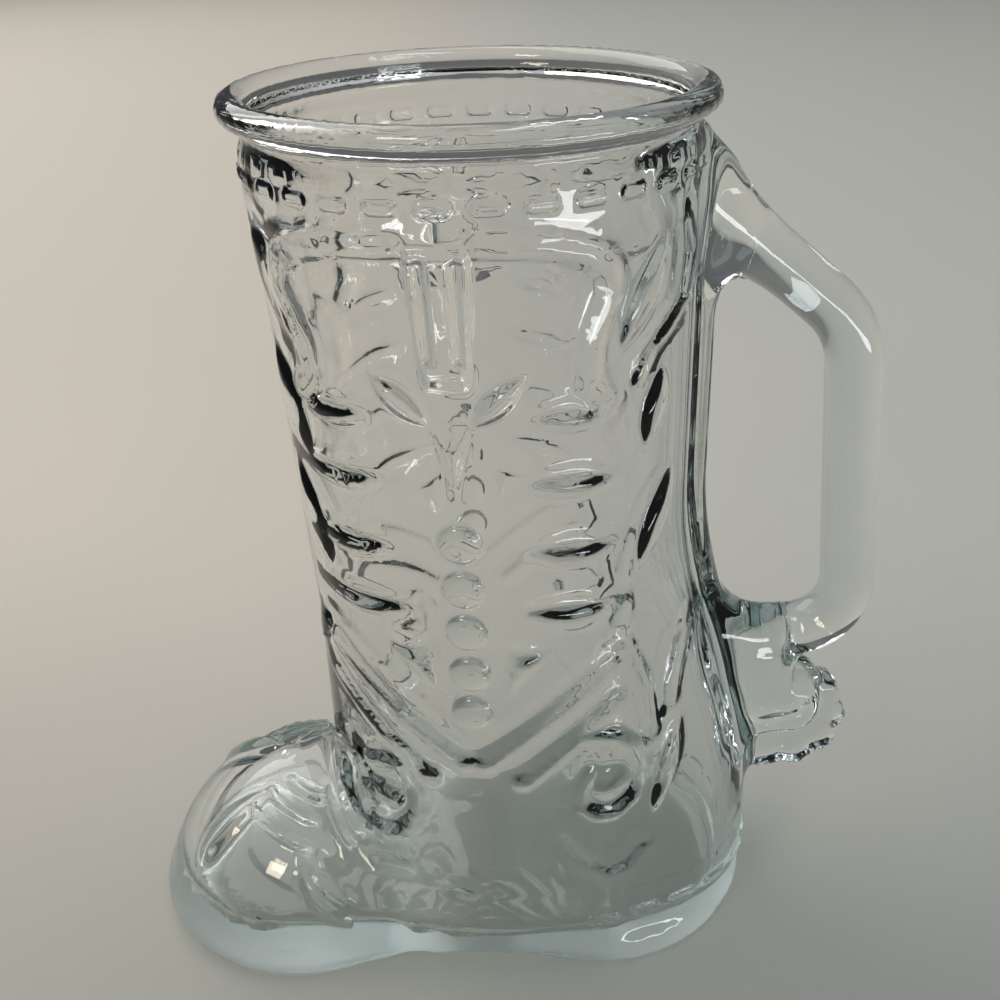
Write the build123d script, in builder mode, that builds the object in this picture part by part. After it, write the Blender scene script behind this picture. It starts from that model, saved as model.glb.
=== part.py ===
"""Clear pressed-glass beer mug in the form of a western boot, with a D handle and a spur.

The boot stands on its sole with +Z up.  The toe points to -X, the handle is at +X, and the two
sides of the boot, at -Y and +Y, carry the same raised ornament.  Sizes are in millimetres.
"""
import os
from math import atan2, copysign, cos, pi, radians, sin, sqrt, tan

from build123d import *

# Overall reach, measured from the axis of the leg
height = 203.0
toe_reach = 87.5
handle_reach = 92.5

# Rolled rim
rim_radius = 49.0
rim_roll = 5.4
rim_neck = 5.2
neck_step = 0.7
lip_round = 2.4

# Leg
leg_radius = 45.2
ankle_radius = 42.6
ankle_front = 39.8
ankle_height = 88.0
leg_wall = 3.8

# Foot
joint_height = 62.0
toe_height = 37.2
toe_radius = 38.5
instep_radius = 8.0
foot_half_width = 37.0
heel_fullness = 2.6
foot_wall = 5.6
floor_thickness = 5.0

# Heel counter, the swell of the foot behind the leg
heel_swell = 19.0
heel_height = 24.0
swell_height = 118.0
heel_tuck = 2.0

# Sole and heel block
sole_thickness = 8.0
sole_margin = 1.0
sole_end_radius = 38.2
sole_waist = 32.5
arch_length = 26.0
arch_height = 2.6
sole_edge_round = 2.2

# Handle
grip_thickness = 12.6
grip_width = 14.0
upper_corner_height = 149.5
upper_arm_slope = 41.0
lower_arm_height = 71.0
grip_lean = 4.4
upper_bend = 21.0
lower_bend = 13.0
root_width = 19.0
stay_top = 186.0
upper_root_bottom = 156.0
lower_root_top = 90.0
lower_root_bottom = 58.0
root_spread = 20.0
root_setback = 2.0
stay_width = 13.0
stay_rise = 5.0

# Spur
rowel_radius = 13.8
rowel_tooth = 1.8
rowel_teeth = 10
rowel_thickness = 9.0
rowel_height = 46.5
rowel_reach = 72.5
yoke_width = 17.0
yoke_radius = 7.0
yoke_height = 52.0
yoke_length = 20.0
yoke_round = 2.5

# Raised ornament, the same on both sides of the boot
relief = 1.8
ornament_shift = 5.2
stitch_count = 31
stitch_length = 6.0
stitch_width = 2.4
stitch_rise = 1.1
stitch_height = 189.5
rib_heights = (147.5, 135.0, 119.0, 106.0)
rib_length = 16.0
rib_width = 4.6
rib_offset = 22.5
brow_height = 153.5
brow_offset = 8.6
brow_tilt = 45.0
brow_length = 10.0
brow_width = 4.2
point_top = 150.0
point_tip = 131.0
point_half_width = 5.0
flank_height = 92.5
flank_offset = 11.5
flank_tilt = 40.0
flank_length = 13.0
flank_width = 6.4
border_heights = (169.0, 146.0, 117.5)
border_tilts = (25.0, 10.0, 12.0)
border_lengths = (24.0, 20.0, 24.0)
border_width = 5.6
border_place = 33.0
bead_heights = (123.8, 113.3, 101.9, 91.6, 81.8)
bead_radius = 4.1
bead_sink = 1.9
strap_top = 183.0
strap_bottom = 157.0
strap_half_width = 6.4
strap_taper = 1.9
groove_width = 2.2
groove_length = 18.0
groove_offset = 2.6
chevron_bars = 2
chevron_height = 79.0
chevron_pitch = 7.5
chevron_offset = 20.5
chevron_shift = 3.0
chevron_tilt = 38.0
chevron_length = 34.0
chevron_shorter = 6.0
chevron_width = 4.0
scroll_height = 52.0
scroll_offset = 23.0
scroll_radius = 7.5
scroll_width = 3.4
scroll_eye = 3.4

# Places worked out from the sizes above
axis_x = (toe_reach - handle_reach) / 2
rim_base = height - rim_roll - rim_neck
ankle_x = ankle_radius - ankle_front
toe_centre = sole_end_radius - toe_reach
heel_reach = leg_radius + heel_swell - heel_tuck
heel_centre = heel_reach + sole_margin - sole_end_radius
waist_x = (toe_centre + heel_centre) / 2
ring_points = 16

plan = Plane((axis_x, 0, 0))
side = Plane((axis_x, 0, 0), x_dir=(1, 0, 0), z_dir=(0, -1, 0))
toe_plane = Plane((axis_x + toe_centre, 0, 0), x_dir=(0, 1, 0), z_dir=(1, 0, 0))
leg_axis = Axis((axis_x, 0, 0), (0, 0, 1))


def ease(t):
    """Smooth step from 0 to 1 as t goes from 0 to 1."""
    t = min(max(t, 0.0), 1.0)
    return t * t * (3 - 2 * t)


def taper(z):
    """Share of the leg's taper at height z: 0 at the ankle and 1 at the rim."""
    return max(0.0, (z - ankle_height) / (rim_base - ankle_height))


def leg_front(z):
    return -ankle_front - (leg_radius - ankle_front) * taper(z)


def boot_back(z):
    """Reach of the back of the boot: straight on the leg, swelling out over the heel."""
    swell = heel_swell * ease((swell_height - z) / (swell_height - heel_height))
    return leg_radius + swell - heel_tuck * max(0.0, 1 - z / heel_height) ** 2


def half_width(z):
    leg = ankle_radius + (leg_radius - ankle_radius) * taper(z)
    return leg - (ankle_radius - foot_half_width) * (1 - ease(z / joint_height))


def wall(z):
    """Thickness of the glass, heavier in the foot than in the leg."""
    return foot_wall - (foot_wall - leg_wall) * ease(z / ankle_height)


def outline_points(z, grow):
    """Points round one level outline of the leg and heel, starting at the back."""
    centre = ankle_x * (1 - taper(z))
    fullness = 2 + (heel_fullness - 2) * max(0.0, 1 - z / joint_height) ** 1.5
    points = []
    for step in range(ring_points):
        along, across = cos(2 * pi * step / ring_points), sin(2 * pi * step / ring_points)
        power = 2 / fullness if along > 0 else 1
        reach = boot_back(z) - centre if along > 0 else centre - leg_front(z)
        x = centre + (reach + grow) * copysign(abs(along) ** power, along)
        points.append((x, (half_width(z) + grow) * copysign(abs(across) ** power, across)))
    return points


def across(place, tilt):
    """Plane across the handle at a place in the side view, facing along +X and tilted upwards."""
    turn = radians(tilt)
    origin = (axis_x + place[0], 0, place[1])
    return Plane(origin, x_dir=(0, 1, 0), z_dir=(cos(turn), 0, sin(turn)))


def boot_solid(grow, lowest):
    """Solid boot from the height lowest up to the rim, its surface grown outwards by grow(z)."""
    toe_grow = grow(lowest)
    half, crown = toe_radius + toe_grow, toe_height + toe_grow
    low_step = (joint_height - lowest) / 3
    with BuildPart() as solid:
        for levels, straight in (
            ((lowest, lowest + low_step, joint_height - low_step, joint_height, ankle_height, swell_height), False),
            ((swell_height, rim_base), True),
        ):
            for z in levels:
                with BuildSketch(plan.offset(z)):
                    with BuildLine():
                        Spline(*outline_points(z, grow(z)), periodic=True)
                    make_face()
            loft(ruled=straight)
        with BuildSketch(toe_plane):
            with BuildLine():
                arch = EllipticalCenterArc((0, 0), half, crown, 0, arc_size=90)
                Polyline(arch @ 1, (0, 0), arch @ 0)
            make_face()
        revolve(axis=Axis(toe_plane.origin, (0, 0, 1)), revolution_arc=180)
        with BuildSketch(toe_plane):
            Ellipse(half, crown)
        extrude(amount=ankle_x - toe_centre)
        split(bisect_by=plan.offset(lowest), keep=Keep.TOP)
        crease = solid.edges().sort_by_distance((axis_x - ankle_front, 0, crown))[0]
        fillet(crease, radius=instep_radius - toe_grow)
    return solid.part


boot_form = boot_solid(lambda z: 0, sole_thickness)
relief_form = boot_solid(lambda z: relief, sole_thickness)
stitch_form = boot_solid(lambda z: stitch_rise, sole_thickness)
stay_form = boot_solid(lambda z: stay_rise, sole_thickness)

# Leg and foot: one hollow wall, parted level at the ankle
with BuildPart() as boot_wall:
    add(boot_form)
    add(boot_solid(lambda z: -wall(z), sole_thickness + floor_thickness), mode=Mode.SUBTRACT)

with BuildPart() as boot_leg:
    add(boot_wall.part)
    split(bisect_by=plan.offset(joint_height), keep=Keep.TOP)

with BuildPart() as boot_foot:
    add(boot_wall.part)
    split(bisect_by=plan.offset(joint_height), keep=Keep.BOTTOM)

# Rolled rim on its short neck
with BuildPart() as rim_bead:
    mouth = leg_radius - leg_wall
    roll_x = rim_radius - rim_roll / 2
    neck_x = leg_radius - neck_step
    with BuildSketch(side):
        with BuildLine():
            inside = Line((mouth, rim_base), (mouth, height - lip_round))
            lip = RadiusArc(inside @ 1, (mouth + lip_round, height), lip_round)
            top = Line(lip @ 1, (roll_x, height))
            roll = ThreePointArc(top @ 1, (rim_radius, height - rim_roll / 2), (roll_x, height - rim_roll))
            Polyline(roll @ 1, (neck_x, height - rim_roll), (neck_x, rim_base + neck_step),
                     (leg_radius, rim_base), inside @ 0)
        make_face()
    revolve(axis=leg_axis)

# Sole outline: two round ends joined by hollow waist arcs
waist_radius = ((heel_centre - waist_x) ** 2 + sole_waist ** 2 - sole_end_radius ** 2) / (
    2 * (sole_end_radius - sole_waist))
waist_turn = atan2(waist_radius + sole_waist, waist_x - toe_centre)
blend_x, blend_y = sole_end_radius * cos(waist_turn), sole_end_radius * sin(waist_turn)
breast_x = waist_x + arch_length / 2

with BuildPart() as sole_blank:
    with BuildSketch(plan):
        with BuildLine():
            for hand in (-1, 1):
                ThreePointArc((toe_centre + blend_x, hand * blend_y), (waist_x, hand * sole_waist),
                              (heel_centre - blend_x, hand * blend_y))
            ThreePointArc((toe_centre + blend_x, -blend_y), (-toe_reach, 0),
                          (toe_centre + blend_x, blend_y))
            ThreePointArc((heel_centre - blend_x, -blend_y), (heel_centre + sole_end_radius, 0),
                          (heel_centre - blend_x, blend_y))
        make_face()
    extrude(amount=sole_thickness)
    fillet(sole_blank.edges().group_by(Axis.Z)[0], radius=sole_edge_round)
    with BuildSketch(side):
        with BuildLine():
            hollow = ThreePointArc((waist_x - arch_length / 2, 0), (waist_x, arch_height), (breast_x, 0))
            Line(hollow @ 1, hollow @ 0)
        make_face()
    extrude(amount=sole_end_radius, both=True, mode=Mode.SUBTRACT)

with BuildPart() as toe_sole:
    add(sole_blank.part)
    split(bisect_by=Plane((axis_x + breast_x, 0, 0), z_dir=(1, 0, 0)), keep=Keep.BOTTOM)

with BuildPart() as heel_block:
    add(sole_blank.part)
    split(bisect_by=Plane((axis_x + breast_x, 0, 0), z_dir=(1, 0, 0)), keep=Keep.TOP)

# Raised strip up the back of the leg, which the handle grows out of
with BuildPart() as back_stay:
    with BuildSketch(plan.offset(joint_height)):
        with Locations((handle_reach / 2, 0)):
            Rectangle(handle_reach, stay_width)
    extrude(amount=stay_top - joint_height)
    with BuildSketch(plan.offset(joint_height)):
        Rectangle(ankle_radius, stay_width)
    extrude(amount=rim_base - joint_height, mode=Mode.SUBTRACT)
    add(stay_form, mode=Mode.INTERSECT)
    add(boot_form, mode=Mode.SUBTRACT)

# Handle: a round bar with a spread root at each end, where it grows out of the leg
lean = radians(grip_lean)
slope = radians(upper_arm_slope)
grip_low = handle_reach - grip_thickness / 2 + lower_bend * ((1 + sin(lean)) / cos(lean) - 1)
grip_high = grip_low - (upper_corner_height - lower_arm_height) * tan(lean)
upper_joint = (leg_radius + root_spread,
               upper_corner_height + (grip_high - leg_radius - root_spread) * tan(slope))
lower_joint = (leg_radius + root_spread, lower_arm_height)

with BuildPart() as handle:
    with BuildLine(side) as grip_path:
        FilletPolyline(upper_joint, (grip_high, upper_corner_height), (grip_low, lower_arm_height),
                       lower_joint, radius=(upper_bend, lower_bend))
    with BuildSketch(across(upper_joint, -upper_arm_slope)):
        Ellipse(grip_width / 2, grip_thickness / 2)
    sweep()
    for joint, tilt, top, bottom in (
        (upper_joint, -upper_arm_slope, stay_top - root_setback, upper_root_bottom),
        (lower_joint, 0, lower_root_top, lower_root_bottom),
    ):
        with BuildSketch(across((ankle_radius, (top + bottom) / 2), 0)):
            Ellipse(root_width / 2, (top - bottom) / 2)
        with BuildSketch(across(joint, tilt)):
            Ellipse(grip_width / 2, grip_thickness / 2)
        loft()
    add(boot_form, mode=Mode.SUBTRACT)
    add(back_stay.part, mode=Mode.SUBTRACT)

# Spur: a toothed rowel held between the cheeks of a yoke, under the handle and behind the heel
with BuildPart() as spur_yoke:
    with BuildSketch(side):
        with Locations((rowel_reach - yoke_length / 2, yoke_height)):
            SlotCenterToCenter(yoke_length, 2 * yoke_radius)
        with Locations((rowel_reach - yoke_length / 2, (yoke_height + lower_arm_height) / 2)):
            Rectangle(yoke_length, lower_arm_height - yoke_height)
    extrude(amount=yoke_width / 2, both=True)
    fillet(spur_yoke.edges().filter_by(GeomType.CIRCLE), radius=yoke_round)
    with BuildSketch(side):
        with Locations((rowel_reach, rowel_height)):
            Circle(rowel_radius + 2 * rowel_tooth)
    extrude(amount=rowel_thickness / 2, both=True, mode=Mode.SUBTRACT)
    add(boot_form, mode=Mode.SUBTRACT)
    add(back_stay.part, mode=Mode.SUBTRACT)
    add(handle.part, mode=Mode.SUBTRACT)

with BuildPart() as spur_rowel:
    with BuildSketch(side):
        with Locations((rowel_reach, rowel_height)):
            Circle(rowel_radius)
            with PolarLocations(rowel_radius, rowel_teeth):
                Circle(rowel_tooth)
    extrude(amount=rowel_thickness / 2, both=True)
    add(boot_form, mode=Mode.SUBTRACT)
    add(back_stay.part, mode=Mode.SUBTRACT)
    add(handle.part, mode=Mode.SUBTRACT)
    add(spur_yoke.part, mode=Mode.SUBTRACT)


def ornament_x(z):
    """Upright centre line of the side ornament, a little towards the toe."""
    return ankle_x * (1 - taper(z)) - ornament_shift


def leaf(length, width):
    """Pointed leaf outline along X, made of two arcs."""
    with BuildSketch(mode=Mode.PRIVATE) as lens:
        with BuildLine():
            ThreePointArc((-length / 2, 0), (0, width / 2), (length / 2, 0))
            ThreePointArc((length / 2, 0), (0, -width / 2), (-length / 2, 0))
        make_face()
    return lens.sketch


def pull_strap():
    x = ornament_x(strap_top)
    foot = strap_half_width - strap_taper
    middle = (strap_top + strap_bottom) / 2
    with BuildSketch(mode=Mode.PRIVATE) as outline:
        with BuildLine():
            Polyline((x - strap_half_width, strap_top), (x + strap_half_width, strap_top),
                     (x + foot, strap_bottom), (x - foot, strap_bottom), close=True)
        make_face()
        with Locations((x - groove_offset, middle), (x + groove_offset, middle)):
            SlotOverall(groove_length, groove_width, rotation=90, mode=Mode.SUBTRACT)
    return outline.sketch


def strap_point():
    x = ornament_x(point_top)
    with BuildSketch(mode=Mode.PRIVATE) as outline:
        with BuildLine():
            Polyline((x - point_half_width, point_top), (x + point_half_width, point_top),
                     (x, point_tip), close=True)
        make_face()
    return outline.sketch


def mirrored_leaves(heights, offset, tilt, length, width):
    """Leaves in pairs, each pair at the same distance from the ornament's centre line."""
    with BuildSketch(mode=Mode.PRIVATE) as outline:
        for z in heights:
            for hand in (-1, 1):
                with Locations(Location((ornament_x(z) + hand * offset, z, 0), hand * tilt)):
                    add(leaf(length, width))
    return outline.sketch


def chevrons():
    with BuildSketch(mode=Mode.PRIVATE) as outline:
        for bar in range(chevron_bars):
            z = chevron_height - bar * chevron_pitch
            for hand in (-1, 1):
                x = ornament_x(z) + hand * (chevron_offset + bar * chevron_shift)
                with Locations(Location((x, z, 0), hand * chevron_tilt)):
                    SlotOverall(chevron_length - bar * chevron_shorter, chevron_width)
    return outline.sketch


def ankle_scrolls():
    with BuildSketch(mode=Mode.PRIVATE) as outline:
        for hand in (-1, 1):
            eye = (ornament_x(scroll_height) + hand * scroll_offset, scroll_height)
            with Locations(eye):
                Circle(scroll_eye)
            SlotArc(CenterArc(eye, scroll_radius, 90 - hand * 120, hand * 300), scroll_width)
    return outline.sketch


def border_leaves():
    """Leaves down the back edge of the leg's side."""
    with BuildSketch(mode=Mode.PRIVATE) as outline:
        for z, tilt, length in zip(border_heights, border_tilts, border_lengths):
            edge = ankle_x * (1 - taper(z)) + border_place
            with Locations(Location((edge, z, 0), 90 - tilt)):
                add(leaf(length, border_width))
    return outline.sketch


def raised(outline):
    """Ornament on both sides of the boot: an outline in the side view, raised off the glass."""
    with BuildPart() as piece:
        with BuildSketch(side):
            add(outline)
        extrude(amount=rim_radius, both=True)
        add(relief_form, mode=Mode.INTERSECT)
        add(boot_form, mode=Mode.SUBTRACT)
    return piece.part


def side_wall(x, z):
    """Distance from the middle of the boot out to the side of the leg, in front of its axis."""
    centre = ankle_x * (1 - taper(z))
    return half_width(z) * sqrt(1 - ((x - centre) / (centre - leg_front(z))) ** 2)


def dash():
    """One stitch, lying across +X and standing proud of both sides of the origin."""
    with BuildPart(mode=Mode.PRIVATE) as bar:
        with BuildSketch(Plane.YZ):
            SlotOverall(stitch_length, stitch_width)
        extrude(amount=stitch_length, both=True)
    return bar.part


# Domed beads down the middle of the ornament
with BuildPart() as bead_row:
    for z in bead_heights:
        x = ornament_x(z)
        seat = side_wall(x, z) - bead_sink
        with Locations((axis_x + x, -seat, z), (axis_x + x, seat, z)):
            Sphere(bead_radius)
    add(boot_form, mode=Mode.SUBTRACT)

# Row of stitches round the top of the leg
with BuildPart() as top_stitches:
    with Locations((axis_x, 0, stitch_height)):
        with PolarLocations(leg_radius, stitch_count, start_angle=180 / stitch_count):
            add(dash())
    add(stitch_form, mode=Mode.INTERSECT)
    add(boot_form, mode=Mode.SUBTRACT)

nodes = {
    "boot_leg": boot_leg.part,
    "boot_foot": boot_foot.part,
    "rim_bead": rim_bead.part,
    "toe_sole": toe_sole.part,
    "heel_block": heel_block.part,
    "back_stay": back_stay.part,
    "handle": handle.part,
    "spur_yoke": spur_yoke.part,
    "spur_rowel": spur_rowel.part,
    "top_stitches": top_stitches.part,
}
both_sides = {
    "bead_row": bead_row.part,
    "pull_strap": raised(pull_strap()),
    "strap_point": raised(strap_point()),
    "strap_leaves": raised(mirrored_leaves((brow_height,), brow_offset, brow_tilt, brow_length, brow_width)),
    "rib_leaves": raised(mirrored_leaves(rib_heights, rib_offset, 0, rib_length, rib_width)),
    "flank_leaves": raised(
        mirrored_leaves((flank_height,), flank_offset, flank_tilt, flank_length, flank_width)),
    "border_leaves": raised(border_leaves()),
    "chevrons": raised(chevrons()),
    "ankle_scrolls": raised(ankle_scrolls()),
}
for name, pair in both_sides.items():
    nodes[f"{name}_left"] = Compound(pair.solids().filter_by_position(Axis.Y, -rim_radius, 0))
    nodes[f"{name}_right"] = Compound(pair.solids().filter_by_position(Axis.Y, 0, rim_radius))

os.makedirs("parts", exist_ok=True)
for name, piece in nodes.items():
    piece.label = name
    export_step(piece, f"parts/{name}.step")
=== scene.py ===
# %% [markdown]
# # A pressed-glass boot mug
# The mug is one pressing of clear glass, shaped as a western boot.  Its solids come from the packed model,
# which is loaded first and gives the main sizes.  Lengths are in metres, and mm turns a drawing's size into
# them.

# %% Load the packed model
from math import cos, pi, radians, sin, sqrt, tan

import bmesh
import bpy
import numpy as np
from mathutils import Matrix, Vector


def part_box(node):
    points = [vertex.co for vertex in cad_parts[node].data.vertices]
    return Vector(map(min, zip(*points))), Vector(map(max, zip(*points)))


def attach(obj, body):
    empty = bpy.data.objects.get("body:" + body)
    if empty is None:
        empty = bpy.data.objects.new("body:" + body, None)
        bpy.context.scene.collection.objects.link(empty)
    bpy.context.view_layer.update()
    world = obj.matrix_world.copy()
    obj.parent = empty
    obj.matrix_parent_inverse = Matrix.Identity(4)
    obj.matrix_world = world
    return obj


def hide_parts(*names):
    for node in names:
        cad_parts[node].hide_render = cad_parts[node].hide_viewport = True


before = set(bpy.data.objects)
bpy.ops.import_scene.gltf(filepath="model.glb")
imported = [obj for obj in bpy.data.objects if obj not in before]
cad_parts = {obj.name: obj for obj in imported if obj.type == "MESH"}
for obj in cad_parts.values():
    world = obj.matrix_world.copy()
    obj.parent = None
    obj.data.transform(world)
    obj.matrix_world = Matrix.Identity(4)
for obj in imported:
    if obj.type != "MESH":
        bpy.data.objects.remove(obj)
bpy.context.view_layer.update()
scene = bpy.context.scene
scene.view_settings.view_transform = "Standard"
mm = 0.001

# %% [markdown]
# ## The camera
# The mug is seen from its side and from above, by a camera that is held a little askew.  A constraint could
# aim the camera, but here its directions are worked out from how far it looks down, its small turn and its
# roll, so that each can be set by itself.

# %% Camera
camera_place = Vector((-2.5, -243.65, 239.8)) * mm
camera_pitch = radians(28.0)
camera_yaw = radians(0.81)
camera_roll = radians(1.87)
ahead = Vector((sin(camera_yaw) * cos(camera_pitch), cos(camera_yaw) * cos(camera_pitch), -sin(camera_pitch)))
level = Vector((cos(camera_yaw), -sin(camera_yaw), 0))
down = ahead.cross(level)
right = level * cos(camera_roll) + down * sin(camera_roll)
up = level * sin(camera_roll) - down * cos(camera_roll)
camera = bpy.data.objects.new("camera", bpy.data.cameras.new("camera"))
camera.data.sensor_width = 36
camera.data.lens = 43.2
camera.data.clip_start = 10 * mm
camera.matrix_world = Matrix((right, up, -ahead)).transposed().to_4x4()
camera.matrix_world.translation = camera_place
scene.collection.objects.link(camera)
scene.camera = camera
print("camera looks down by", round(camera_pitch, 3), "rad")

# %% [markdown]
# ## Sizes of the glass
# The packed solids give the outside sizes.  The boot is drawn from the axis of the leg, so x below is counted
# from there, with the toe on the negative side.

# %% Sizes read from the solids
rim_low, rim_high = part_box("rim_bead")
leg_low, leg_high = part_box("boot_leg")
toe_low, toe_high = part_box("toe_sole")
heel_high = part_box("heel_block")[1]
axis_x = (rim_low.x + rim_high.x) / 2
height = rim_high.z
rim_radius = rim_high.y
rim_base = leg_high.z
leg_radius = leg_high.y
joint_height = leg_low.z
sole_top = heel_high.z
sole_end_radius = toe_high.y
toe_centre = toe_low.x - axis_x + sole_end_radius
heel_centre = heel_high.x - axis_x - sole_end_radius
print("leg radius in mm:", round(leg_radius / mm, 1), "toe centre:", round(toe_centre / mm, 1))

# %% [markdown]
# ## The boot as a field
# Molten glass has no seams: the leg flows into the foot, the handle and the spur.  Separate meshes that touch
# would show false walls inside the glass, so the whole mug is one skin.  Its form is written as a field, the
# distance of a point from the glass, below zero inside it.  Fields join with a soft minimum, which leaves the
# rounded corner that fire polishing leaves.

# %% Soft joining of fields
def soft_min(a, b, blend):
    """Field of what lies inside a or b, with a filled corner between them."""
    nearness = np.maximum(blend - np.abs(a - b), 0) / blend
    return np.minimum(a, b) - nearness * nearness * blend / 4


def soft_max(a, b, blend):
    """Field of what lies inside both a and b, with a soft edge between them."""
    return -soft_min(-a, -b, blend)


def rounded(a, b, corner):
    """Field of what lies inside both a and b, with a round edge of a given radius."""
    a, b = a + corner, b + corner
    return np.minimum(np.maximum(a, b), 0) + np.hypot(np.maximum(a, 0), np.maximum(b, 0)) - corner


def ease(t):
    """Smooth step from 0 to 1 as t goes from 0 to 1."""
    t = np.clip(t, 0, 1)
    return t * t * (3 - 2 * t)


print("a soft corner of 4 mm is filled by", soft_min(0.0, 0.0, 4.0), "mm")

# %% Leg and heel counter
ankle_radius = 42.6 * mm
ankle_front = 39.8 * mm
ankle_height = 88 * mm
ankle_x = ankle_radius - ankle_front
foot_half_width = 37 * mm
heel_fullness = 2.6
fullness_run = 24 * mm
heel_swell = 19 * mm
heel_height = 24 * mm
heel_tuck = 2 * mm
swell_height = 118 * mm
least_share = 1e-6


def taper(z):
    """Share of the leg's taper: 0 at the ankle and 1 at the rim."""
    return np.clip((z - ankle_height) / (rim_base - ankle_height), 0, 1)


def leg_field(x, y, z, inset):
    """Leg and heel: level ellipses, which get fuller at the back towards the heel."""
    centre = ankle_x * (1 - taper(z))
    front = centre + ankle_front + (leg_radius - ankle_front) * taper(z)
    swell = heel_swell * ease((swell_height - z) / (swell_height - heel_height))
    back = leg_radius + swell - heel_tuck * np.maximum(0, 1 - z / heel_height) ** 2 - centre
    half = ankle_radius + (leg_radius - ankle_radius) * taper(z)
    half = half - (ankle_radius - foot_half_width) * (1 - ease(z / joint_height)) - inset
    along = x - centre
    fuller = (heel_fullness - 2) * np.maximum(0, 1 - z / joint_height) ** 1.5
    power = 2 + fuller * ease(along / fullness_run)
    reach = np.where(along > 0, back, front) - inset
    share = ((np.abs(along) / reach) ** power + (np.abs(y) / half) ** power) ** (1 / power)
    return np.hypot(along, y) * (1 - 1 / np.maximum(share, least_share))


print("the ankle's middle lies behind the leg's axis by", round(ankle_x / mm, 2), "mm")

# %% Toe, and the whole boot
toe_height = 37.2 * mm
toe_radius = 38.5 * mm
toe_narrowing = 3.5 * mm
toe_end = 24 * mm
instep_blend = 9.5 * mm


def toe_field(x, y, z, inset):
    """Toe: a dome in front, drawn out backwards into the leg."""
    before = np.minimum(x - toe_centre, 0)
    radius = toe_radius - inset - toe_narrowing * ease((x - toe_centre) / (toe_end - toe_centre))
    share = np.sqrt((before ** 2 + y ** 2) / radius ** 2 + (z / (toe_height - inset)) ** 2)
    dome = np.sqrt(before ** 2 + y ** 2 + z ** 2) * (1 - 1 / np.maximum(share, least_share))
    return np.maximum(dome, x - toe_end)


def boot_field(x, y, z, inset):
    return soft_min(leg_field(x, y, z, inset), toe_field(x, y, z, inset), instep_blend)


print("the toe ends in front of the leg's axis by", round((toe_radius - toe_centre) / mm, 1), "mm")

# %% [markdown]
# ## Sole, rim and the strip up the back
# The sole is a plate with two round ends, a drawn-in waist and a hollow arch.  The rim is a round roll on a
# short neck.  The strip is the boot itself, grown outwards and kept only along the back.

# %% Sole
sole_waist = 32.5 * mm
sole_round = 2.6 * mm
arch_half = 16.9 * mm
arch_height = 2.6 * mm
waist_x = (toe_centre + heel_centre) / 2
waist_radius = ((heel_centre - waist_x) ** 2 + sole_waist ** 2 - sole_end_radius ** 2) / (
    2 * (sole_end_radius - sole_waist))
waist_half = (waist_x - toe_centre) * waist_radius / (sole_end_radius + waist_radius)


def sole_field(x, y, z):
    end = np.where(x < waist_x, toe_centre, heel_centre)
    outline = np.hypot(x - end, y) - sole_end_radius
    hollow = waist_radius - np.hypot(x - waist_x, np.abs(y) - sole_waist - waist_radius)
    outline = np.where(np.abs(x - waist_x) < waist_half, hollow, outline)
    arch = arch_height * np.maximum(0, 1 - ((x - waist_x) / arch_half) ** 2) ** 2
    return rounded(outline, np.maximum(arch - z, z - sole_top), sole_round)


print("the waist's arcs have a radius of", round(waist_radius / mm, 1), "mm")

# %% Rim
rim_roll = 5.4 * mm
neck_step = 0.3 * mm
neck_blend = 1.2 * mm


def rim_field(x, y, z):
    radius = np.hypot(x, y)
    roll_half = rim_roll / 2
    roll = np.hypot(np.maximum(radius - rim_radius + roll_half, 0), z - height + roll_half) - roll_half
    neck = np.maximum(radius - leg_radius + neck_step, np.abs(z - rim_base) - 2 * rim_roll)
    return soft_min(roll, np.maximum(neck, z - height + roll_half), neck_blend)


print("the rim stands out from the leg by", round((rim_radius - leg_radius) / mm, 1), "mm")

# %% Strip up the back
stay_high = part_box("back_stay")[1]
stay_rise = 5 * mm
stay_start = 20 * mm
stay_bottom = joint_height - 8 * mm
stay_round = 4 * mm
stay_fade = 6 * mm


def stay_field(x, y, z, boot):
    strip = soft_max(boot - stay_rise, np.abs(y) - stay_high.y, stay_round)
    ends = np.maximum(z - stay_high.z, stay_bottom - z)
    return soft_max(np.maximum(strip, stay_start - x), ends, stay_fade)


print("the strip is", round(2 * stay_high.y / mm, 1), "mm wide")

# %% [markdown]
# ## Handle and spur
# The handle is a round bar along a path with two bends.  Its field is the distance to that path, less a
# radius that grows towards the leg.  The spur is a yoke with a toothed wheel, right under the handle's lower
# arm.

# %% Path of the handle
upper_start = (43 * mm, 182.5 * mm)
upper_corner = (81.2 * mm, 149.5 * mm)
lower_corner = (87.24 * mm, 71 * mm)
lower_end = (50 * mm, 72.5 * mm)
upper_bend = 21 * mm
lower_bend = 13 * mm
bend_steps = 8


def bend_points(before, corner, after, radius):
    """Points of the arc that rounds a corner of the path."""
    corner, before, after = Vector(corner), Vector(before), Vector(after)
    to_before, to_after = (before - corner).normalized(), (after - corner).normalized()
    half_angle = to_before.angle(to_after) / 2
    middle = corner + (to_before + to_after).normalized() * radius / sin(half_angle)
    first = (corner + to_before * radius / tan(half_angle) - middle).normalized()
    last = (corner + to_after * radius / tan(half_angle) - middle).normalized()
    return [middle + first.slerp(last, step / bend_steps) * radius for step in range(bend_steps + 1)]


grip_path = [Vector(upper_start),
             *bend_points(upper_start, upper_corner, lower_corner, upper_bend),
             *bend_points(upper_corner, lower_corner, lower_end, lower_bend),
             Vector(lower_end)]
print("points on the handle's path:", len(grip_path))

# %% Handle
grip_half = 6.3 * mm
grip_half_width = 7 * mm
root_growth = 2.5 * mm
root_length = 20 * mm


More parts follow.
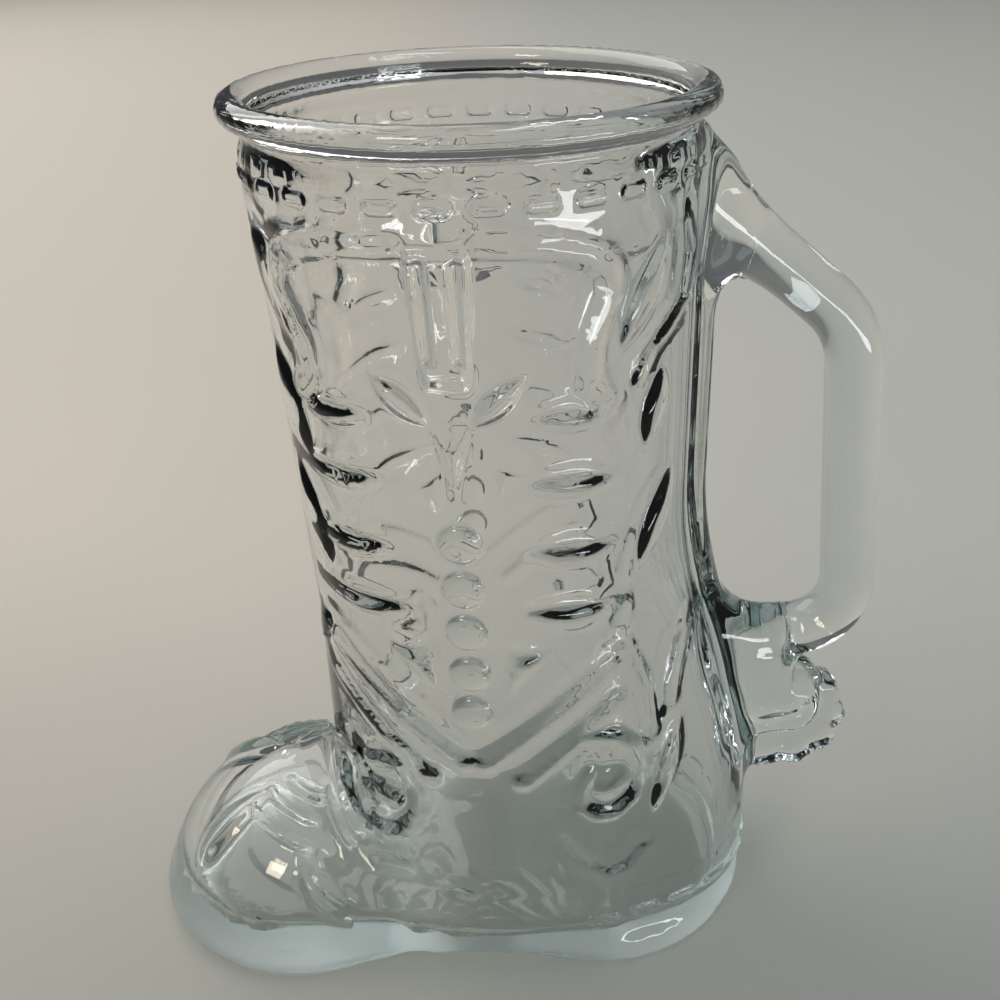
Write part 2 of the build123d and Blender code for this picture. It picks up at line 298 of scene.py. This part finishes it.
def handle_field(x, y, z):
    nearest = np.full_like(x, np.inf)
    for a, b in zip(grip_path, grip_path[1:]):
        run = b - a
        t = np.clip(((x - a.x) * run.x + (z - a.y) * run.y) / run.length_squared, 0, 1)
        nearest = np.minimum(nearest, np.hypot(x - a.x - t * run.x, z - a.y - t * run.y))
    half = grip_half + root_growth * ease((leg_radius + root_length - x) / root_length)
    return np.hypot(nearest, y * grip_half / grip_half_width) - half


print("the grip is", round(2 * grip_half / mm, 1), "mm thick")

# %% Spur
rowel_low, rowel_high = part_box("spur_rowel")
rowel_x = (rowel_high.x + rowel_low.x) / 2 - axis_x
rowel_z = (rowel_high.z + rowel_low.z) / 2
rowel_half = rowel_high.y
rowel_radius = 13.8 * mm
rowel_round = 2 * mm
rowel_teeth = 10
tooth = 1.6 * mm
yoke_half_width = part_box("spur_yoke")[1].y
yoke_radius = 7 * mm
yoke_z = 52 * mm
yoke_length = 20 * mm
yoke_round = 2.5 * mm
post_lift = 8 * mm
post_half = 9 * mm
spur_blend = 2 * mm


def spur_field(x, y, z):
    turn = np.arctan2(z - rowel_z, x - rowel_x)
    scallop = tooth * np.abs(np.cos(rowel_teeth / 2 * turn))
    wheel = np.hypot(x - rowel_x, z - rowel_z) - rowel_radius - scallop
    rowel = rounded(wheel, np.abs(y) - rowel_half, rowel_round)
    arm_x = np.clip(x, rowel_x - yoke_length, rowel_x)
    arm = np.hypot(x - arm_x, z - yoke_z) - yoke_radius
    post = np.maximum(np.abs(x - rowel_x + yoke_length / 2) - yoke_length / 2,
                      np.abs(z - yoke_z - post_lift) - post_half)
    yoke = rounded(np.minimum(arm, post), np.abs(y) - yoke_half_width, yoke_round)
    return soft_min(rowel, yoke, spur_blend)


print("the rowel's middle is", round(rowel_z / mm, 1), "mm above the table")

# %% [markdown]
# ## The moulded relief
# The mould gives both sides of the leg the same ornament: a pull strap, leaves, beads, scrolls and bars.
# Each figure is a height between 0 and 1 over the side view, so a figure drawn once lands on both sides.  The
# heights have soft feet and rounded crowns, as pressed glass has.  The figures could be cut as meshes, but
# heights can be joined by taking the largest, and leave no edge in the glass.

# %% Heights of single figures
leaf_crown = 1.15
cord_crown = 1.25
knob_crown = 1.2


def turned(x, z, place, tilt):
    """Coordinates along and across a figure that stands at a place and is tilted."""
    c, s = cos(radians(tilt)), sin(radians(tilt))
    return (x - place[0]) * c + (z - place[1]) * s, (z - place[1]) * c - (x - place[0]) * s


def leaf(x, z, reach, rise, tilt, length, width):
    """Pointed leaf, with its place and sizes in millimetres."""
    along, across = turned(x, z, (reach * mm, rise * mm), tilt)
    share = 2 * np.abs(across) / (width * mm) + (2 * along / (length * mm)) ** 2
    return ease(leaf_crown * (1 - share))


def bar(x, z, place, tilt, length, width):
    """Straight bar with round ends."""
    along, across = turned(x, z, place, tilt)
    off = np.hypot(np.maximum(np.abs(along) - (length - width) / 2, 0), across)
    return ease(cord_crown * (1 - 2 * off / width))


def knob(x, z, place, radius):
    """Low round knob."""
    return ease(knob_crown * (1 - np.hypot(x - place[0], z - place[1]) / radius))


print("height at a leaf's middle:", float(leaf(0.0, 0.0, 0, 0, 30, 20, 7)))

# %% Heights along lines
arc_steps = 14


def line(*pairs):
    """Points of a drawn line, from millimetres."""
    return [(x * mm, z * mm) for x, z in pairs]


def arc_points(centre, radius, start, sweep):
    turns = [radians(start + sweep * step / arc_steps) for step in range(arc_steps + 1)]
    return [(centre[0] + radius * cos(t), centre[1] + radius * sin(t)) for t in turns]


def band(x, z, points, width):
    """Raised cord along a line of points."""
    off = np.full_like(x, np.inf)
    for (ax, az), (bx, bz) in zip(points, points[1:]):
        run_x, run_z = bx - ax, bz - az
        t = np.clip(((x - ax) * run_x + (z - az) * run_z) / (run_x ** 2 + run_z ** 2), 0, 1)
        off = np.minimum(off, np.hypot(x - ax - t * run_x, z - az - t * run_z))
    return ease(cord_crown * (1 - 2 * off / width))


def wedge(x, z, corners, edge):
    """Raised patch inside corners that are given anticlockwise."""
    inside = np.full_like(x, np.inf)
    for (ax, az), (bx, bz) in zip(corners, corners[1:] + corners[:1]):
        run = sqrt((bx - ax) ** 2 + (bz - az) ** 2)
        inside = np.minimum(inside, ((bx - ax) * (z - az) - (bz - az) * (x - ax)) / run)
    return ease(inside / edge)


print("points on an arc:", len(arc_points((0, 0), 10 * mm, 0, 90)))

# %% [markdown]
# ## Ornament on the sides
# A figure's place is counted from the row of beads.  Figures that come in pairs are drawn once, with the
# distance from the beads taken without its sign.  The small crisp figures and the leaves at the edges only
# stand on the outside.  The inner wall follows the broad ones, so they are folds of an even wall and don't
# act as strong lenses.

# %% Crisp figures: pull strap, small leaves and beads
relief = 1.7 * mm
ornament_shift = 7.2 * mm
strap_top = 183 * mm
strap_bottom = 155 * mm
strap_half = 4.8 * mm
strap_spread = 1.6 * mm
strap_side_run = 1.8 * mm
strap_top_run = 2 * mm
strap_bottom_run = 5 * mm
groove_place = (2.8 * mm, 171 * mm)
groove_tilt = 90
groove_length = 20 * mm
groove_width = 3 * mm
groove_spread = 0.5 * mm
groove_depth = 0.8
brow_leaf = (9.2, 153.5, 42, 15, 6.5)
brow_share = 1.2
bead_radius = 4.3 * mm
bead_heights = (123.6, 113.1, 102.7, 92.3, 82.2)


def side_places(x, z):
    """Places in the side view: from the row of beads, and the same for both halves of a pair."""
    off = x - ankle_x * (1 - taper(z)) + ornament_shift
    return off, np.abs(off)


def strap_relief(pair, z):
    """Pull strap: a tapered tab with two long grooves."""
    share = (z - strap_bottom) / (strap_top - strap_bottom)
    tab = ease((strap_half + strap_spread * share - pair) / strap_side_run)
    tab = tab * ease((strap_top - z) / strap_top_run) * ease((z - strap_bottom) / strap_bottom_run)
    groove = bar(pair - groove_spread * share, z, groove_place, groove_tilt, groove_length, groove_width)
    return tab - groove_depth * groove * tab


def crisp_relief(x, z):
    """Height of the figures that stand on the outside alone."""
    off, pair = side_places(x, z)
    heights = [strap_relief(pair, z), brow_share * leaf(pair, z, *brow_leaf)]
    for rise in bead_heights:
        from_bead = off ** 2 + (z - rise * mm) ** 2
        heights.append(np.sqrt(np.maximum(0, 1 - from_bead / bead_radius ** 2)))
    return relief * np.maximum.reduce(heights)


print("beads on a side:", len(bead_heights))

# %% Lines of the broad figures
wing_line = line((7.9, 183), (19.6, 181.5), (26.7, 179.1), (29.8, 176), (30.5, 172), (28.4, 167),
                 (26.4, 162), (25.9, 155), (28.1, 151))
ankle_line = line((31.7, 93), (36.3, 80.5), (38.9, 66.6))
border_line = line((47.5, 183), (49, 173), (47.5, 165), (43, 161), (38.5, 157.7), (36, 153))
counter_line = line((46.5, 87), (44, 79), (43, 72))
back_scroll = line((25, 73.4), (31, 71.5), (35.5, 67), (37, 61), (35, 54), (31, 50.5), (27.4, 50.8),
                   (23.8, 54), (22.8, 59), (25, 63))
front_scroll = line((-23, 60.8), (-19, 64.5), (-15.6, 63.9), (-13.5, 58), (-13.8, 52), (-15.6, 47.2),
                    (-18.5, 42), (-22.2, 39.5), (-25.5, 41), (-26.5, 45), (-25, 51))
back_tail = line((16.7, 51.2), (18, 45), (21.8, 38.8), (26, 33), (30.2, 30), (34.5, 31.5), (37.3, 36))
front_tail = line((-30.4, 29.4), (-24, 28), (-18, 30.5))
ripple_centre = (-20 * mm, 47 * mm)
ripple_start = 160
ripple_sweep = 75
ripples = [arc_points(ripple_centre, radius * mm, ripple_start, ripple_sweep) for radius in (12, 16, 20)]
# Each line with its width in millimetres and its share of the full height
paired_lines = ((wing_line, 7, 0.9), (ankle_line, 5, 0.8))
single_lines = ((border_line, 4.5, 0.7), (counter_line, 5, 0.6),
                (back_scroll, 6, 0.65), (front_scroll, 6, 0.65),
                (back_tail, 7, 0.35), (front_tail, 6, 0.35),
                *((ripple, 3.4, 0.8) for ripple in ripples))
print("lines on a side:", 2 * len(paired_lines) + len(single_lines))

# %% Broad figures
point_tip = 131 * mm
point_top = 151 * mm
point_slope = 0.27
point_side_run = 2.4 * mm
point_top_run = 5 * mm
point_share = 0.6
flank_corners = line((6.6, 99.5), (7.2, 85.5), (18.2, 96.6))
flank_run = 3.6 * mm
rib_tilt = -7
rib_width = 7
rib_share = 0.95
ribs = ((22.5, 148.2, 16), (22.3, 134.5, 20), (22, 119.4, 20), (20.5, 105.3, 21))
bar_width = 8
bar_share = 0.65
ankle_bars = ((15.5, 79.7, 38, 42), (20.5, 72.5, 40, 34))
eye_share = 0.7
scroll_eyes = ((29.6, 59.7, 6), (-20, 54, 5.5))
counter_leaf = (42.7, 57, 77, 24, 8)
instep_leaf = (-42, 20, -42, 20, 8)
small_oval = (-5, 25.4, 0, 10, 5)
oval_share = 0.6


def blown_relief(x, z):
    """Height of the broad figures, which the inner wall follows."""
    off, pair = side_places(x, z)
    point = ease((point_slope * (z - point_tip) - pair) / point_side_run)
    point = point * ease((point_top - z) / point_top_run)
    heights = [point_share * point, wedge(pair, z, flank_corners, flank_run), leaf(off, z, *counter_leaf),
               leaf(x, z, *instep_leaf), oval_share * leaf(off, z, *small_oval)]
    heights += [share * band(pair, z, points, width * mm) for points, width, share in paired_lines]
    heights += [share * band(off, z, points, width * mm) for points, width, share in single_lines]
    heights += [eye_share * knob(off, z, (reach * mm, rise * mm), radius * mm)
                for reach, rise, radius in scroll_eyes]
    heights += [bar_share * bar(pair, z, (reach * mm, rise * mm), tilt, length * mm, bar_width * mm)
                for reach, rise, tilt, length in ankle_bars]
    heights += [rib_share * leaf(pair, z, reach, rise, rib_tilt, length, rib_width)
                for reach, rise, length in ribs]
    return relief * np.maximum.reduce(heights)


print("ribs on a side:", 2 * len(ribs))

# %% Leaves along the edges of the side
border_share = 0.95
border_leaves = ((37.2, 169, 62, 23, 8.5), (39.7, 145.5, 75, 17, 7), (40.2, 120, 66, 21, 7),
                 (-32.5, 171, 112, 29, 11), (-32, 146, 104, 24, 10), (-30.5, 121, 104, 24, 9))


def border_relief(x, z):
    """Height of the leaves along the front and back edges of the side."""
    off, _ = side_places(x, z)
    return border_share * relief * np.maximum.reduce([leaf(off, z, *sizes) for sizes in border_leaves])


print("leaves on the edges of a side:", len(border_leaves))

# %% [markdown]
# ## Stitches, creases and the toe's leaves
# Both seams repeat one stitch, a small raised loop, by taking what is left of the length along the seam after
# whole stitches.  The creases of the vamp and the toe's leaf are drawn over the view from above.

# %% Seams
stitch_rise = 1.2 * mm
stitch_pitch = 11 * mm
stitch_length = 8.4 * mm
stitch_width = 3.2 * mm
hollow_length = stitch_length - 2 * mm
hollow_width = stitch_width - 1.2 * mm
hollow_share = 0.5
stitch_count = 31
stitch_height = 189 * mm
heel_stitch_height = 15.5 * mm
heel_seam_start = heel_centre - 8 * mm


def stitch_row(along, across):
    """Stitches repeated along a seam, each one a loop."""
    along = (along / stitch_pitch - np.floor(along / stitch_pitch) - 0.5) * stitch_pitch
    loop = bar(along, across, (0, 0), 0, stitch_length, stitch_width)
    hollow = bar(along, across, (0, 0), 0, hollow_length, hollow_width)
    return stitch_rise * (loop - hollow_share * hollow)


def seam_relief(x, y, z):
    """Height of the stitches under the rim and round the heel."""
    round_leg = np.arctan2(y, x) / (2 * pi) * stitch_count * stitch_pitch
    round_heel = np.arctan2(y, x - heel_centre) * sole_end_radius
    heel_seam = stitch_row(round_heel, z - heel_stitch_height) * (x > heel_seam_start)
    return np.maximum(stitch_row(round_leg, z - stitch_height), heel_seam)


print("stitches under the rim:", stitch_count)

# %% Foot, and the whole relief
follow = 0.9
fold_rise = 1.4 * mm
fold_width = 2.8 * mm
fold_radii = (14 * mm, 19.5 * mm, 25 * mm)
fold_start = 106
fold_sweep = 44
toe_leaf = (-68, 16, 150, 30, 11)
vamp_low = 20 * mm
vamp_low_run = 6 * mm
vamp_high = joint_height - 8 * mm
vamp_high_run = 4 * mm
side_start = 0.2
side_run = 0.2


def foot_relief(x, y, z):
    """Height of the vamp's creases and the toe's leaf, seen from above."""
    on_vamp = ease((z - vamp_low) / vamp_low_run) * ease((vamp_high - z) / vamp_high_run) * (x < -ankle_front)
    y = np.abs(y)
    folds = [band(x, y, arc_points((-ankle_front, 0), radius, fold_start, fold_sweep), fold_width)
             for radius in fold_radii]
    return fold_rise * np.maximum.reduce([*folds, leaf(x, y, *toe_leaf)]) * on_vamp


def relief_field(x, y, z):
    """Heights of the whole relief, of what the inner wall follows of it, and of its crisp figures."""
    facing = ease((np.abs(y) / leg_radius - side_start) / side_run)
    blown = blown_relief(x, z) * facing
    crisp = np.maximum(crisp_relief(x, z) * facing, seam_relief(x, y, z))
    raised = np.maximum.reduce([blown, crisp, border_relief(x, z) * facing, foot_relief(x, y, z)])
    return raised, follow * blown, crisp


print("creases on a side of the vamp:", len(fold_radii))

# %% [markdown]
# ## The whole mug
# The outside is the boot with its relief, joined softly to the sole, the strip, the handle, the spur and the
# rim.  The inside is the boot again, drawn in by the wall, which gets thinner towards the lip.

# %% Field of the glass
leg_wall = 3.8 * mm
foot_wall = 5.6 * mm
lip_flare = 1.7 * mm
lip_start = 184 * mm
lip_run = 14 * mm
base_thickness = 6.5 * mm
wall_middle = 3 * mm
wall_reach = 6 * mm
seat_overlap = 3 * mm
seat_blend = 3 * mm
stay_blend = 4 * mm
spur_arm_blend = 4 * mm
arm_blend = 9 * mm
rim_blend = 2.5 * mm
floor_blend = 5 * mm
lip_blend = 3 * mm


def wall(z):
    """Thickness of the wall."""
    lip = lip_flare * ease((z - lip_start) / lip_run)
    return foot_wall - (foot_wall - leg_wall) * ease(z / ankle_height) - lip


def glass_field(points, moulded):
    x, y, z = points[:, 0] - axis_x, points[:, 1], points[:, 2]
    boot = boot_field(x, y, z, 0)
    raised, followed = np.zeros_like(boot), np.zeros_like(boot)
    if moulded:
        on_wall = np.abs(boot + wall_middle) < wall_reach
        raised[on_wall], followed[on_wall], _ = relief_field(x[on_wall], y[on_wall], z[on_wall])
    body = np.maximum(boot - raised, np.maximum(sole_top - seat_overlap - z, z - rim_base))
    glass = soft_min(body, sole_field(x, y, z), seat_blend)
    glass = soft_min(glass, stay_field(x, y, z, boot), stay_blend)
    arms = soft_min(handle_field(x, y, z), spur_field(x, y, z), spur_arm_blend)
    glass = soft_min(soft_min(glass, arms, arm_blend), rim_field(x, y, z), rim_blend)
    cavity = soft_max(boot_field(x, y, z, wall(z)) - followed, base_thickness - z, floor_blend)
    return soft_max(glass, -cavity, lip_blend)


print("wall at the lip in mm:", round(wall(height) / mm, 2))

# %% [markdown]
# ## One skin for all the glass
# Copies of the packed solids are thrown together, and the Remesh modifier casts them into one even skin, as
# a mould does.  Every point of the skin is then drawn onto the field above, along the field's slope, which
# melts the seams and raises the relief.  Faces under the relief are divided once, and those under its crisp
# figures once more, because that is where the shape is fine.

# %% Cast the skin
skin_cell = 1.85 * mm
main_nodes = ["boot_leg", "boot_foot", "rim_bead", "toe_sole", "heel_block", "back_stay", "handle",
              "spur_yoke", "spur_rowel"]


def cast_skin(names, cell):
    bm = bmesh.new()
    for name in names:
        bm.from_mesh(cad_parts[name].data)
    bmesh.ops.remove_doubles(bm, verts=bm.verts, dist=0.001 * mm)
    mesh = bpy.data.meshes.new("cast")
    bm.to_mesh(mesh)
    bm.free()
    cast = bpy.data.objects.new("cast", mesh)
    scene.collection.objects.link(cast)
    remesh = cast.modifiers.new("one_skin", "REMESH")
    remesh.mode = "VOXEL"
    remesh.voxel_size = cell
    bpy.context.view_layer.update()
    skin = bpy.data.meshes.new_from_object(cast.evaluated_get(bpy.context.evaluated_depsgraph_get()))
    bpy.data.objects.remove(cast)
    return skin


skin = cast_skin(main_nodes, skin_cell)
print("faces of the cast skin:", len(skin.polygons))


# %% Drop crumbs of the casting
def drop_crumbs(mesh):
    """Keeps the largest connected part of a mesh."""
    bm = bmesh.new()
    bm.from_mesh(mesh)
    islands = []
    waiting = set(bm.verts)
    while waiting:
        front = [waiting.pop()]
        island = set(front)
        while front:
            front = [edge.other_vert(v) for v in front for edge in v.link_edges]
            front = list(set(front) - island)
            island.update(front)
        waiting -= island
        islands.append(island)
    islands.sort(key=len)
    crumbs = [v for island in islands[:-1] for v in island]
    bmesh.ops.delete(bm, geom=crumbs, context="VERTS")
    bm.to_mesh(mesh)
    bm.free()
    return len(islands) - 1


print("crumbs dropped:", drop_crumbs(skin))

# %% Draw the skin onto the field
slope_step = 0.02 * mm
longest_move = 1.5 * mm
least_move = 1e-9
least_slope = 0.05


def read_points(mesh):
    points = np.empty(len(mesh.vertices) * 3)
    mesh.vertices.foreach_get("co", points)
    return points.reshape(-1, 3)


def slope(points, value, moulded):
    shifts = np.eye(3) * slope_step
    return np.stack([(glass_field(points + shift, moulded) - value) / slope_step for shift in shifts], axis=1)


def draw_on(mesh, rounds, evening, moulded):
    """Moves the skin onto the glass and evens its points along the surface."""
    points = read_points(mesh)
    edges = np.empty(len(mesh.edges) * 2, dtype=int)
    mesh.edges.foreach_get("vertices", edges)
    first, second = edges.reshape(-1, 2).T
    ends = np.concatenate([first, second])
    others = np.concatenate([second, first])
    count = np.bincount(ends, minlength=len(points))[:, None]
    for step in range(rounds + 1):
        value = glass_field(points, moulded)[:, None]
        grade = slope(points, value[:, 0], moulded)
        steep = np.maximum((grade ** 2).sum(axis=1, keepdims=True), least_slope)
        move = -value * grade / steep
        far = np.linalg.norm(move, axis=1, keepdims=True)
        points = points + move * np.minimum(1, longest_move / np.maximum(far, least_move))
        if step < rounds:
            middle = np.stack([np.bincount(ends, weights=points[others, axis], minlength=len(points))
                               for axis in range(3)], axis=1) / count
            pull = middle - points
            points = points + evening * (pull - grade * (pull * grade).sum(axis=1, keepdims=True) / steep)
    mesh.vertices.foreach_set("co", points.ravel())
    return np.abs(glass_field(points, moulded)).mean()


left_over = draw_on(skin, rounds=6, evening=0.4, moulded=False)
print("mean distance left in mm:", round(left_over / mm, 4))

# %% Divide the faces under the relief
relief_reach = 2.4 * mm
least_height = 0.06 * mm


def divide(mesh, part):
    """Quarters the faces under the whole relief (part 0) or under its crisp figures (part 2)."""
    points = read_points(mesh)
    x, y, z = points[:, 0] - axis_x, points[:, 1], points[:, 2]
    on_outside = np.abs(boot_field(x, y, z, 0)) < relief_reach
    under = (relief_field(x, y, z)[part] > least_height) & on_outside
    bm = bmesh.new()
    bm.from_mesh(mesh)
    bm.verts.ensure_lookup_table()
    fine = {edge for vert in bm.verts if under[vert.index] for face in vert.link_faces for edge in face.edges}
    bmesh.ops.subdivide_edges(bm, edges=list(fine), cuts=1, use_grid_fill=True)
    bmesh.ops.triangulate(bm, faces=[face for face in bm.faces if len(face.verts) > 4])
    for face in bm.faces:
        face.smooth = True
    bm.to_mesh(mesh)
    bm.free()
    return len(fine)


for part in (0, 2):
    print("edges divided:", divide(skin, part))
    left_over = draw_on(skin, rounds=2, evening=0.3, moulded=True)
    print("mean distance left in mm:", round(left_over / mm, 4))

# %% The mug as a piece
mug = bpy.data.objects.new("mug_glass", skin)
scene.collection.objects.link(mug)
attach(mug, "root")
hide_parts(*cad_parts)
skin.calc_loop_triangles()
print("triangles of the mug:", len(skin.loop_triangles))

# %% [markdown]
# ## Writing materials
# A material's maths is written as Python: a small class wraps a socket, and each operator adds a Math node.
# Every other node comes from one method, and three short helpers write the nodes that are used most.

# %% Shader helper
class Socket:
    """A socket of a node tree that can be added, multiplied and so on."""

    def __init__(self, finish, socket):
        self.finish = finish
        self.socket = socket

    def math(self, operation, first, second):
        return self.finish.node("ShaderNodeMath", {"operation": operation}, {0: first, 1: second})[0]

    def __add__(self, other):
        return self.math("ADD", self, other)

    def __radd__(self, other):
        return self.math("ADD", other, self)

    def __sub__(self, other):
        return self.math("SUBTRACT", self, other)

    def __rsub__(self, other):
        return self.math("SUBTRACT", other, self)

    def __mul__(self, other):
        return self.math("MULTIPLY", self, other)

    def __rmul__(self, other):
        return self.math("MULTIPLY", other, self)


class Finish:
    """A node tree to be filled: node() adds one node with its settings and its sockets' values or links."""

    def __init__(self, tree):
        self.tree = tree
        tree.nodes.clear()

    def node(self, kind, settings=None, sockets=None):
        node = self.tree.nodes.new(kind)
        for name, value in (settings or {}).items():
            setattr(node, name, value)
        for name, value in (sockets or {}).items():
            if isinstance(value, Socket):
                self.tree.links.new(value.socket, node.inputs[name])
            else:
                node.inputs[name].default_value = value
        return [Socket(self, socket) for socket in node.outputs]

    def mixed(self, share, first, second):
        """Colour between two colours."""
        return self.node("ShaderNodeMix", {"data_type": "RGBA"}, {0: share, 6: first, 7: second})[2]

    def rising(self, value, start, end, kind="SMOOTHSTEP"):
        """Goes from 0 to 1 while a value goes from start to end."""
        return self.node("ShaderNodeMapRange", {"interpolation_type": kind},
                         {0: value, 1: start, 2: end, 3: 0.0, 4: 1.0})[0]

    def noise(self, place, scale, detail):
        return self.node("ShaderNodeTexNoise", {}, {"Vector": place, "Scale": scale, "Detail": detail})[0]


def new_material(name):
    material = bpy.data.materials.new(name)
    material.use_nodes = True
    return material, Finish(material.node_tree)


print("operators of a socket:", sorted(name for name in vars(Socket) if name.startswith("__r")))

# %% [markdown]
# ## Clear glass
# The glass is clear and only looks blue-grey where light has gone a long way through it, so its tint is an
# absorption inside the volume.  Pressing leaves slow waves in the surface, which a weak bump adds.  The
# underside is worn dull and rough by standing on tables, and lets some of the table's own tone through.  Its
# colour is darkened there as well, a painted shade of the table under the sole.  A lamp's shadow would be
# black behind glass, so shadow rays pass through a pale see-through shader instead.

# %% Glass
fresh_tint = (0.98, 0.97, 0.96, 1)
cloudy_tint = (0.94, 0.94, 0.93, 1)
# Painted shade: a darker colour for the underside, standing for the shaded table seen through the sole
painted_underside_shade = (0.68, 0.66, 0.63, 1)
shadow_tint = (0.72, 0.74, 0.74, 1)
depth_tint = (0.73, 0.85, 0.88, 1)
level_start = 0.5
level_full = 0.8
underside_full = 3 * mm
underside_end = 3.6 * mm
glass, finish = new_material("pressed_glass")
place = finish.node("ShaderNodeTexCoord")[3]
waves = finish.noise(place, 45.0, 1.0)
cloud = finish.noise(place, 18.0, 2.0)
bump = finish.node("ShaderNodeBump", {}, {"Height": waves, "Strength": 0.06, "Distance": 0.002})[0]
above_table = finish.node("ShaderNodeSeparateXYZ", {}, {0: place})[2]
upright = finish.node("ShaderNodeSeparateXYZ", {}, {0: finish.node("ShaderNodeNewGeometry")[1]})[2]
level_part = finish.rising(upright * upright, level_start, level_full, "LINEAR")
# The underside's mask carries real wear, a rougher surface, and painted shade, a darker colour
wear_and_painted_shade = level_part * (1 - finish.rising(above_table, underside_full, underside_end, "LINEAR"))
tint = finish.mixed(wear_and_painted_shade, finish.mixed(cloud, fresh_tint, cloudy_tint), painted_underside_shade)
clear = finish.node("ShaderNodeBsdfPrincipled", {},
                    {"Base Color": tint, "Roughness": cloud * 0.03 + wear_and_painted_shade * 0.42, "IOR": 1.5,
                     "Transmission Weight": 1.0, "Normal": bump})[0]
see_through = finish.node("ShaderNodeBsdfTransparent", {}, {"Color": shadow_tint})[0]
shadow_ray = finish.node("ShaderNodeLightPath")[1]
surface = finish.node("ShaderNodeMixShader", {}, {0: shadow_ray + wear_and_painted_shade * 0.4, 1: clear, 2: see_through})[0]
inside = finish.node("ShaderNodeVolumeAbsorption", {}, {"Color": depth_tint, "Density": 27.0})[0]
finish.node("ShaderNodeOutputMaterial", {}, {"Surface": surface, "Volume": inside})
skin.materials.append(glass)
print("glass nodes:", len(glass.node_tree.nodes))

# %% [markdown]
# ## Table
# The mug stands on a pale, slightly mottled table.  Its colour has light and shade painted into it: lit and
# warm on the left, dimmer and cooler towards the right, painted shade towards the front, and a painted dark
# patch far out on the left, because clear glass shows what is round it.

# %% Table
# Painted light and shade: lit and shaded copies of the table's colour, warm on the left and cooler to the
# right
warm_lit = (0.585, 0.54, 0.47, 1)
cool_lit = (0.49, 0.495, 0.465, 1)
warm_shaded = (0.32, 0.32, 0.29, 1)
cool_shaded = (0.26, 0.285, 0.28, 1)
# Painted shade: a dark patch far out on the left, which the clear glass shows as dark edges
painted_dark_far_left = (0.17, 0.175, 0.175, 1)
table, finish = new_material("pale_table")
place = finish.node("ShaderNodeTexCoord")[3]
mottle = finish.noise(place, 5.0, 4.0)
grain = finish.noise(place, 180.0, 3.0)
across_table, into_room = finish.node("ShaderNodeSeparateXYZ", {}, {0: place})[:2]
# Painted light: lighter and warmer on the left, where the daylight falls, with painted shade towards the
# front
to_right = finish.rising(across_table + mottle * 0.2, -0.12, 0.3)
to_back = finish.rising(into_room, -0.16, 0.22)
# Mask of the painted dark patch: 0 far out on the left, 1 nearer the mug
clear_of_painted_dark = finish.rising(across_table + into_room * 0.25, -0.7, -0.45)
painted_light_and_shade = finish.mixed(to_back, finish.mixed(to_right, warm_shaded, cool_shaded),
                          finish.mixed(to_right, warm_lit, cool_lit))
bump = finish.node("ShaderNodeBump", {}, {"Height": grain, "Strength": 0.1, "Distance": 0.001})[0]
matte = finish.node("ShaderNodeBsdfPrincipled", {},
                    {"Base Color": finish.mixed(clear_of_painted_dark, painted_dark_far_left, painted_light_and_shade),
                     "Roughness": mottle * 0.2 + 0.55, "Normal": bump})[0]
finish.node("ShaderNodeOutputMaterial", {}, {"Surface": matte})

table_half = 4.0
table_gap = 0.1 * mm
bm = bmesh.new()
bmesh.ops.create_grid(bm, x_segments=2, y_segments=2, size=table_half)
bmesh.ops.translate(bm, verts=bm.verts, vec=(0, 0, -table_gap))
floor_mesh = bpy.data.meshes.new("table_top")
bm.to_mesh(floor_mesh)
bm.free()
floor = bpy.data.objects.new("table_top", floor_mesh)
floor_mesh.materials.append(table)
scene.collection.objects.link(floor)
print("table nodes:", len(table.node_tree.nodes))

# %% [markdown]
# ## Light
# A large soft lamp behind the mug on the left makes the daylight.  A long lamp overhead, a small warm one and
# a low pane add glints.  The pane lights the mug alone, because so near the table it would leave a pool of
# light there.  The room is a plain gradient, darker on one side and pale overhead.

# %% Lamps
def soft_lamp(name, place, target, width, length, power, colour):
    lamp = bpy.data.lights.new(name, "AREA")
    lamp.shape = "RECTANGLE"
    lamp.size = width
    lamp.size_y = length
    lamp.energy = power
    lamp.color = colour
    lamp_object = bpy.data.objects.new(name, lamp)
    lamp_object.location = place
    lamp_object.rotation_euler = (Vector(target) - Vector(place)).to_track_quat("-Z", "Y").to_euler()
    scene.collection.objects.link(lamp_object)
    return lamp_object


mug_middle = (0, 0, height / 2)
soft_lamp("daylight", (-1.3, 1.4, 1.9), mug_middle, 2.6, 2.6, 46, (1.0, 0.98, 0.95))
pane = soft_lamp("window_pane", (0.4, -0.4, 0.06), (0, 0, 0.19), 0.36, 0.05, 0.6, (0.95, 0.98, 1.0))
lit_by_pane = bpy.data.collections.new("lit_by_pane")
lit_by_pane.objects.link(mug)
pane.light_linking.receiver_collection = lit_by_pane
soft_lamp("ceiling_light", (0.35, -0.1, 1.8), mug_middle, 0.9, 0.2, 4, (0.97, 0.98, 1.0))
soft_lamp("warm_lamp", (-0.57, -0.79, 0.81), mug_middle, 0.26, 0.2, 2.2, (1.0, 0.87, 0.64))
print("lamps:", len(bpy.data.lights))

# %% Room
dark_wall = (0.1, 0.105, 0.11, 1)
pale_wall = (0.21, 0.21, 0.2, 1)
ceiling = (0.6, 0.6, 0.61, 1)
room = bpy.data.worlds.new("room")
room.use_nodes = True
scene.world = room
finish = Finish(room.node_tree)
direction = finish.node("ShaderNodeTexCoord")[0]
aside, depth, above = finish.node("ShaderNodeSeparateXYZ", {}, {0: direction})
walls = finish.mixed(finish.rising(aside - depth * 0.3, -0.7, 0.3), dark_wall, pale_wall)
tone = finish.mixed(finish.rising(above, 0.45, 0.9), walls, ceiling)
light = finish.node("ShaderNodeBackground", {}, {"Color": tone, "Strength": 0.9})[0]
finish.node("ShaderNodeOutputWorld", {}, {"Surface": light})
print("room nodes:", len(room.node_tree.nodes))

# %% [markdown]
